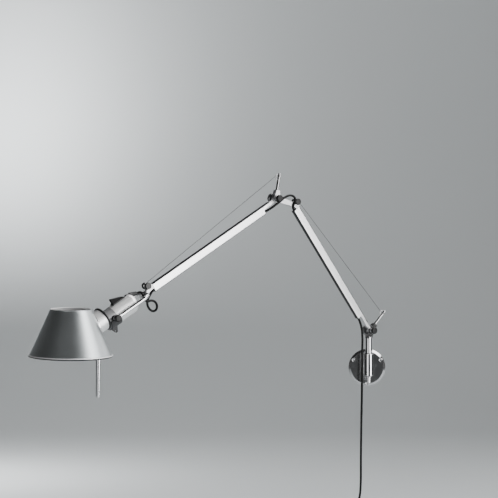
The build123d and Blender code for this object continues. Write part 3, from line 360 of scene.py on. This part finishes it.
lowerTop = direction(lampPose["lowerRise"] + 90)
steelTone, paleTone, satinTone = (0.66, 0.66, 0.67), (0.83, 0.83, 0.84), (0.93, 0.93, 0.93)
capTone = (0.006, 0.006, 0.0065)
finishes = {
    "lowerTube": armTube("lowerTubeSatin", paleTone, 0.3, lampPose["basePivot"], lowerAxis,
                         lowerTop),
    "upperTube": armTube("upperTubeSatin", paleTone, 0.3, lampPose["elbowPivot"], upperAxis,
                         upperTop),
    "casting": brushedMetal("castFittingSatin", (0.62, 0.62, 0.63), 0.38, upperAxis,
                            fine=1800.0, streak=3.0),
    "housing": ribbedMetal("housingSatin", satinTone, 0.46, upperAxis,
                           pitch=0.0009, depth=0.000006),
    "neck": ribbedMetal("neckTurned", satinTone, 0.45, upperAxis, pitch=0.0016, depth=0.00004),
    "flange": ribbedMetal("flangeTurned", (0.8, 0.8, 0.8), 0.25, upperAxis,
                          pitch=0.0009, depth=0.000004),
    "plate": turnedMetal("platePolished", steelTone, 0.13, centre=(0, 0, 0), axis=(0, 1, 0)),
    "post": turnedMetal("stemPolished", (0.7, 0.7, 0.71), 0.1,
                        centre=(0, -lampPose["standoff"], 0), axis=(0, 0, 1)),
    "fork": brushedMetal("forkPolished", (0.76, 0.76, 0.77), 0.14, upperAxis,
                         fine=1500.0, streak=30.0),
    "strut": brushedMetal("strutPolished", (0.5, 0.5, 0.51), 0.2, direction(135.0),
                          fine=1500.0, streak=30.0),
    "knob": brushedMetal("knobTurned", (0.3, 0.3, 0.31), 0.3, armSide,
                         fine=2200.0, streak=20.0),
    "screw": brushedMetal("screwSteel", (0.55, 0.55, 0.56), 0.28, (0, 1, 0),
                          fine=2600.0, streak=6.0),
    "wire": brushedMetal("wireDrawn", (0.03, 0.03, 0.032), 0.45, lowerAxis,
                         fine=3000.0, streak=8.0),
    "bracket": mouldedPlastic("bracketPaint", (0.035, 0.035, 0.037), 0.5,
                              grainScale=1800.0, depth=0.00001),
    "disc": mouldedPlastic("discGrey", (0.07, 0.07, 0.072), 0.4,
                           grainScale=1800.0, depth=0.00001),
    "darkMetal": brushedMetal("darkCarrier", (0.11, 0.11, 0.115), 0.36, armSide,
                              fine=1600.0, streak=4.0),
    "collar": ribbedMetal("collarSatin", (0.42, 0.42, 0.43), 0.42, upperAxis,
                          pitch=0.0009, depth=0.000006),
    "cap": mouldedPlastic("capBlack", capTone, 0.42),
    "gloss": mouldedPlastic("glossBlack", capTone, 0.3, grainScale=1600.0, depth=0.000008,
                            coat=0.1),
    "rocker": mouldedPlastic("rockerBlack", (0.004, 0.004, 0.0042), 0.5,
                             grainScale=1800.0, depth=0.00002, sheen=0.12),
    "grip": brushedMetal("gripRodPolished", (0.82, 0.82, 0.83), 0.12, (0, 0, 1),
                         fine=1500.0, streak=30.0, depth=0.000006, dull=0.92),
    "boot": mouldedPlastic("bootGrey", (0.05, 0.05, 0.052), 0.4, grainScale=1800.0),
    "white": mouldedPlastic("moduleWhite", (0.72, 0.72, 0.72), 0.45,
                            grainScale=1600.0, depth=0.00002, sheen=0.5),
    "shade": anodisedShade("shadeAnodised", (0.5, 0.53, 0.54), lining=(0.85, 0.85, 0.85)),
    "cable": cableSheath("cableSheathBlack", (0.003, 0.003, 0.0032),
                         scuffed=(0.012, 0.012, 0.0125)),
    "lens": opalLens("opalWindow", (0.93, 0.94, 0.96), glow=0.5),
}

# the solids that take each finish
finishNodes = {
    "plate": ("wall_plate",),
    "post": ("plate_boss", "pivot_sleeve", "stem"),
    "gloss": ("sleeve_bushes", "lower_roller_axle", "upper_roller_axle", "front_ring",
              "switch_bezel"),
    "screw": ("stem_retainer", "base_wire_anchor", "elbow_wire_anchor", "base_bolt",
              "elbow_bolt", "lower_roller", "upper_roller", "head_bolts"),
    "strut": ("base_strut", "elbow_strut"),
    "cap": ("base_cap", "elbow_cap", "head_cap", "cord_tie", "mains_plug"),
    "knob": ("base_knob", "elbow_knob", "head_knob"),
    "lowerTube": ("lower_tube",),
    "upperTube": ("upper_tube",),
    "casting": ("base_eye", "elbow_eye", "elbow_link", "nose_fitting"),
    "fork": ("fork", "plug_pins"),
    "collar": ("head_collar",),
    "housing": ("rear_housing",),
    "boot": ("cable_gland",),
    "bracket": ("tilt_bracket",),
    "rocker": ("switch_rocker",),
    "shade": ("shade_cone",),
    "neck": ("shade_neck",),
    "flange": ("neck_flange",),
    "darkMetal": ("lamp_carrier",),
    "disc": ("top_disc",),
    "white": ("lamp_module",),
    "lens": ("lenses",),
    "grip": ("handle_rod",),
    "wire": ("lower_spring", "upper_spring"),
}
for finishName, nodeNames in finishNodes.items():
    for nodeName in nodeNames:
        slots = nodes[nodeName].data.materials
        slots.clear()
        slots.append(finishes[finishName])
print("finishes on", sum(len(names) for names in finishNodes.values()), "nodes")


# tools for pieces
def deselect():
    if bpy.context.mode != "OBJECT":
        bpy.ops.object.mode_set(mode="OBJECT")
    bpy.ops.object.select_all(action="DESELECT")


def finishPiece(piece, name, finishName, body=None, angle=35):
    piece.name = piece.data.name = name
    deselect()
    piece.select_set(True)
    bpy.context.view_layer.objects.active = piece
    bpy.ops.object.transform_apply(location=True, rotation=True, scale=True)
    bpy.ops.object.shade_smooth_by_angle(angle=math.radians(angle))
    piece.data.materials.clear()
    piece.data.materials.append(finishes[finishName])
    if body:
        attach(piece, body)
    return piece


cable = {
    "diameter": 0.0054,
    "stepsPerPoint": 5,
    "roundness": 3,
    "pitch": 5.9,               # millimetres from here on, as the routes are
    "coilOuter": 40.6,
    "coilLoops": 4,
    "coilCentre": (-12.0, -46.0, -404.0),
    "coilTail": 66.0,
    "pointsPerTurn": 16,
    "insideArm": -11.2,         # how far below the pivots' line it runs in a tube
    "besideElbow": 9.15,
}


def splineThrough(name, points, diameter=0.0):
    data = bpy.data.curves.new(name, "CURVE")
    data.dimensions = "3D"
    data.resolution_u = cable["stepsPerPoint"]
    data.bevel_depth = diameter / 2
    data.bevel_resolution = cable["roundness"]
    data.use_fill_caps = True
    spline = data.splines.new("NURBS")
    spline.points.add(len(points) - 1)
    for knot, point in zip(spline.points, points):
        knot.co = (*point, 1)
    spline.order_u = 3
    spline.use_endpoint_u = True
    curve = bpy.data.objects.new(name, data)
    bpy.context.collection.objects.link(curve)
    return curve


def meshFromCurve(curve):
    bpy.context.view_layer.update()
    solid = curve.evaluated_get(bpy.context.evaluated_depsgraph_get())
    mesh = bpy.data.meshes.new_from_object(solid)
    bpy.data.objects.remove(curve)
    return mesh


def centreLine(points):
    mesh = meshFromCurve(splineThrough("centreLine", points))
    line = [v.co.copy() for v in mesh.vertices]
    bpy.data.meshes.remove(mesh)
    return line


def cableTube(name, points):
    curve = splineThrough(name + "Curve", points, cable["diameter"])
    piece = bpy.data.objects.new(name, meshFromCurve(curve))
    bpy.context.collection.objects.link(piece)
    return finishPiece(piece, name, "cable", angle=60), centreLine(points)


def lineLength(line):
    return sum((b - a).length for a, b in zip(line, line[1:]))


# cables
inside, beside = cable["insideArm"], cable["besideElbow"]
tailRoute = [onLower(50, 0, inside), onLower(39, 0, inside), onLower(21, 0, -16.5),
             onLower(2, 0, -27.5), onWall(-15.6, -68.8, 50), onWall(-15.5, -68.4, 30)]
dropRoute = [onWall(-15.5, -68.4, 30), onWall(-15.4, -68.0, 10), onWall(-16.2, -66.8, -46),
             onWall(-17.2, -65.6, -104), onWall(-18.0, -64.2, -162), onWall(-18.5, -62.4, -218),
             onWall(-18.3, -60.4, -268), onWall(-20.5, -57.8, -306), onWall(-33, -53.0, -336),
             onWall(-48.4, -48.0, -357), onWall(-52.6, -46, -384)]
elbowRoute = [onLower(357, 0, inside), onLower(364.5, 0, inside), onLower(371.5, 7.0, -11.8),
              onLower(376, 9.3, -2.5), onLower(385, 9.3, 3.6), onLower(397, 9.2, -3.5),
              onLower(402.4, beside, -21), onUpper(-6.5, beside, -8.6), onUpper(9, beside, -9.0),
              onUpper(22, 7.4, -10.5), onUpper(34, 1.0, -11.6), onUpper(41, 0, inside),
              onUpper(48, 0, inside)]
loopRoute = [onHead(-88.0, 11.2, -3.5), onHead(-87.47, 11.8, -9.88), onHead(-90.8, 11.4, -15.2),
             onHead(-100, 10.0, -17.4), onHead(-108.5, 8.4, -24), onHead(-111, 6.8, -35),
             onHead(-105, 5.2, -44.5), onHead(-95, 4.0, -43), onHead(-90.4, 3.0, -32),
             onHead(-93.0, 1.9, -21), onHead(-101, 0.9, -13.4), onHead(-111.5, 0, -9.0),
             onHead(-118.5, 0, -5.2), onHead(-126, 0, -5.2)]


gland = {"along": -63.0, "up": 17.2, "slope": 17.0, "insideEnd": -20.4, "outsideEnd": -24.9}


def glandPoint(along):
    tip = math.radians(gland["slope"])
    return onHead(gland["along"] + along * math.cos(tip), 0, gland["up"] + along * math.sin(tip))


glandRoute = [glandPoint(gland["insideEnd"]), glandPoint(gland["outsideEnd"]),
              onHead(-90.8, 5.0, 9.2), onHead(-88.7, 10.4, 5.0), loopRoute[0]]


# winds in for four and a half turns, then out again one layer nearer the room
def coilRoute():
    centre, perTurn = onWall(*cable["coilCentre"]), cable["pointsPerTurn"]
    pitch, outer, loops = cable["pitch"], cable["coilOuter"], cable["coilLoops"]
    halfWay = loops + 0.5
    grow = 8 / (6 + 2 * math.cos(2 * math.pi / perTurn))      # the spline runs inside its points
    route = []
    for step in range(2 * loops * perTurn + 1):
        turn = step / perTurn
        inward = min(turn, halfWay)
        outward = min(1.0, 2 * max(0.0, turn - halfWay)) + max(0.0, turn - halfWay - 0.5)
        radius = (outer - pitch * inward + pitch * outward) * grow
        layer = min(1.0, max(0.0, 2 * (turn - loops)))
        angle = math.pi + 2 * math.pi * turn
        route.append(centre + onWall(radius * math.cos(angle), -pitch * layer,
                                     radius * math.sin(angle)))
    return route


coilEnd = onWall(*cable["coilCentre"]) + onWall(0.5 * cable["pitch"] - cable["coilOuter"],
                                                -cable["pitch"], -cable["coilTail"])
leadRoute = dropRoute + coilRoute() + [coilEnd + onWall(0, 0, rise) for rise in (44, 22, 0)]

lead, leadLine = cableTube("mainsLead", leadRoute)
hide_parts("drop_cord", "cord_coil")
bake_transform(lead)
round(lineLength(leadLine), 3)


def jointCable(name, route, node, start, end, declared=True):
    piece, line = cableTube(name, route)
    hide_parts(node)
    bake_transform(piece)
    if declared:
        round(lineLength(line), 3)


jointCable("baseCable", tailRoute, "tail_cord", onLower(40, 0, -12),
           tailRoute[-1])
jointCable("elbowCable", elbowRoute, "elbow_cable", onLower(366, 0, -11),
           onUpper(38, 0, -11))
jointCable("forkCable", loopRoute, "loop_cable", loopRoute[0],
           loopRoute[-2])
jointCable("glandCable", glandRoute, "gland_cable", glandRoute[1],
           glandRoute[-1], declared=False)
for name, node, start, end, place, body in (
        ("lowerInnerCable", "lower_inner_cable", 50, 357, onLower, "lower_arm"),
        ("upperInnerCable", "upper_inner_cable", 48, 380, onUpper, "upper_arm")):
    inner, _ = cableTube(name, [place(start + (end - start) * i / 3, 0, inside)
                                for i in range(4)])
    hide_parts(node)
    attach(inner, body)
print("cables done, lead", round(lineLength(leadLine), 3))


# wires from the struts to the rollers
wire = {
    "diameter": 0.0009,
    "sides": 8,
    "tipReach": 0.0015,         # how near to an end a solid's corners count as that end
    "strutEnds": {"lowerWire": (-0.048, 0.136), "upperWire": (0.262, 0.456)},
}


def spanWire(name, node):
    points = [v.co.copy() for v in nodes[node].data.vertices]
    strutEnd = armPoint(*wire["strutEnds"][name])
    start = min(points, key=lambda p: (p - strutEnd).length)
    far = max(points, key=lambda p: (p - strutEnd).length)
    near = [p for p in points if (p - start).length < wire["tipReach"]]
    away = [p for p in points if (p - far).length < wire["tipReach"]]
    a = sum(near, Vector()) / len(near)
    b = sum(away, Vector()) / len(away)
    deselect()
    bpy.ops.mesh.primitive_cylinder_add(
        vertices=wire["sides"], radius=wire["diameter"] / 2, depth=(b - a).length,
        location=(a + b) / 2, rotation=(b - a).to_track_quat("Z", "Y").to_euler())
    piece = finishPiece(bpy.context.object, name, "wire", angle=50)
    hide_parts(node)
    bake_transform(piece)


spanWire("lowerWire", "lower_span_wire")
spanWire("upperWire", "upper_span_wire")
print("wires done")


# plate screws: a raised face inside a plain rim, with a round socket in it
screw = {
    "count": 3,
    "firstAt": 270,             # degrees round the plate, the lowest screw
    "circle": 0.0375,
    "middle": -0.0052,
    "headRadius": 0.0041,
    "headDepth": 0.0024,
    "rim": 0.0007,
    "crown": 0.0003,
    "ledge": 0.0016,
    "socketDepth": 0.0009,
}


def plateScrew(index):
    turn = math.radians(screw["firstAt"] + index * 360 / screw["count"])
    deselect()
    bpy.ops.mesh.primitive_cylinder_add(
        vertices=48, radius=screw["headRadius"], depth=screw["headDepth"],
        location=(screw["circle"] * math.cos(turn), screw["middle"],
                  screw["circle"] * math.sin(turn)),
        rotation=(math.pi / 2, 0, 0))
    piece = bpy.context.object
    bpy.ops.object.mode_set(mode="EDIT")
    bpy.ops.mesh.select_all(action="DESELECT")
    bpy.ops.mesh.select_mode(type="FACE")
    bpy.ops.object.mode_set(mode="OBJECT")
    for face in piece.data.polygons:
        face.select = face.normal.z > 0.9
    bpy.ops.object.mode_set(mode="EDIT")
    bpy.ops.mesh.inset(thickness=screw["rim"])
    bpy.ops.transform.translate(value=(0, -screw["crown"], 0))
    bpy.ops.mesh.inset(thickness=screw["ledge"])
    bpy.ops.transform.translate(value=(0, screw["socketDepth"], 0))
    bpy.ops.object.mode_set(mode="OBJECT")
    finishPiece(piece, f"plateScrew{index + 1}", "screw", "wall_bracket")


for index in range(screw["count"]):
    plateScrew(index)

# black washers between the collar and the fork's eyes
washer = {"radius": 0.0071, "inner": 0.0203, "outer": 0.0237, "round": 0.0006}


def pivotWasher(name, side):
    near = armPoint(*lampPose["headPivot"], side * washer["inner"])
    far = armPoint(*lampPose["headPivot"], side * washer["outer"])
    deselect()
    bpy.ops.mesh.primitive_cylinder_add(
        vertices=64, radius=washer["radius"], depth=(far - near).length,
        location=(near + far) / 2, rotation=armSide.to_track_quat("Z", "Y").to_euler())
    piece = bpy.context.object
    edges = piece.modifiers.new("roundedEdges", "BEVEL")
    edges.width, edges.segments, edges.limit_method = washer["round"], 3, "ANGLE"
    bpy.ops.object.modifier_apply(modifier=edges.name)
    finishPiece(piece, name, "cap", "head")


pivotWasher("nearWasher", 1)
pivotWasher("farWasher", -1)
print("screws and washers done")

# studio: one sheet of paper, from the floor up through a bend to the back
studio = {
    "floor": -0.60,
    "front": -14.0,
    "back": 6.5,
    "half": 12.0,
    "bend": 2.5,
    "bendSteps": 16,
    "top": 2.6,
    "paper": ((0.545, 0.572, 0.582), (0.585, 0.612, 0.622)),
    "airDepth": (-0.5, 0.6, 0.1, 0.15),     # from, to, and the air's brightness at each
    "airHeight": (0.1, 0.55, 1.0, 0.35),
}
deselect()
bpy.ops.mesh.primitive_plane_add(size=1, location=(0, 0, 0))
backdrop = bpy.context.object
bend = studio["bend"]
outline = [(studio["front"], studio["floor"])]
for step in range(studio["bendSteps"] + 1):
    angle = math.pi / 2 * (step / studio["bendSteps"] - 1)
    outline.append((studio["back"] - bend + bend * math.cos(angle),
                    studio["floor"] + bend + bend * math.sin(angle)))
outline.append((studio["back"], studio["top"]))
form = bmesh.new()
rows = [[form.verts.new((x, y, z)) for x in (-studio["half"], studio["half"])]
        for y, z in outline]
for a, b in zip(rows, rows[1:]):
    form.faces.new((a[0], a[1], b[1], b[0]))
form.to_mesh(backdrop.data)
form.free()
backdrop.name = "studioSweep"
for face in backdrop.data.polygons:
    face.use_smooth = True
paper = Finish("studioPaper", Roughness=0.9)
paper.set("Base_Color", paper.mix(paper.noise(paper.place, 0.5, 2.0), *studio["paper"]))
backdrop.data.materials.append(paper.material)
print("studio done")

# each light's place, size in metres, power in watts and what it is turned to
lamp, shade, backWall = (-0.35, -0.3, 0.2), (-0.65, -0.5, 0.1), (0, 6.5, 0.8)
lights = {
    "rightSoftbox": ((2.4, -1.9, 0.5), (1.4, 2.2), 80, lamp),
    "highSoftbox": ((1.7, -0.7, 2.1), (1.9, 1.6), 62, shade),
    "rimSoftbox": ((1.6, 1.5, 1.9), (2.2, 2.4), 36, shade),
    "topSoftbox": ((0.4, 0.3, 3.2), (1.6, 1.6), 45, lamp),
    "frontWall": ((-2.0, -4.4, 0.1), (2.4, 2.2), 40, (-0.6, -0.5, 0.1)),
    "backdropLight": ((0.0, 2.0, 4.5), (5.0, 2.0), 120, backWall),
    "upperGlow": ((-1.8, 5.4, 1.3), (0.6, 0.6), 34, (-1.8, 6.5, 1.3)),
    "lowerGlow": ((-1.5, 2.4, 0.2), (0.6, 0.6), 17, (-1.5, 2.4, -0.6)),
}


def softbox(name, place, size, power, target):
    data = bpy.data.lights.new(name, "AREA")
    data.shape = "RECTANGLE"
    data.size, data.size_y = size
    data.energy = power
    light = bpy.data.objects.new(name, data)
    bpy.context.collection.objects.link(light)
    light.location = place
    light.rotation_euler = (Vector(target) - Vector(place)).to_track_quat("-Z", "Y").to_euler()


for name, settings in lights.items():
    softbox(name, *settings)

world = bpy.data.worlds.new("studioAir")
world.use_nodes = True
bpy.context.scene.world = world
sky = world.node_tree
split = sky.nodes.new("ShaderNodeSeparateXYZ")
sky.links.new(sky.nodes.new("ShaderNodeTexCoord").outputs["Generated"], split.inputs[0])


def airBand(axis, start, end, first, last):
    band = sky.nodes.new("ShaderNodeMapRange")
    band.interpolation_type = "SMOOTHSTEP"
    for socket, value in (("From Min", start), ("From Max", end), ("To Min", first),
                          ("To Max", last), ("Value", Signal(sky, split.outputs[axis]))):
        feed(sky, band.inputs[socket], value)
    return Signal(sky, band.outputs["Result"])


feed(sky, sky.nodes["Background"].inputs["Color"],
     airBand("Y", *studio["airDepth"]) * airBand("Z", *studio["airHeight"]))

photoView = {"place": (-0.2824, -4.0, 0.2833), "lens": 120.65, "sensor": 36.0, "reach": 100.0}
camera = bpy.data.cameras.new("photoCamera")
camera.lens, camera.sensor_width = photoView["lens"], photoView["sensor"]
camera.clip_end = photoView["reach"]
viewer = bpy.data.objects.new("photoCamera", camera)
bpy.context.collection.objects.link(viewer)
viewer.location = photoView["place"]
viewer.rotation_euler = (math.pi / 2, 0, 0)
bpy.context.scene.camera = viewer
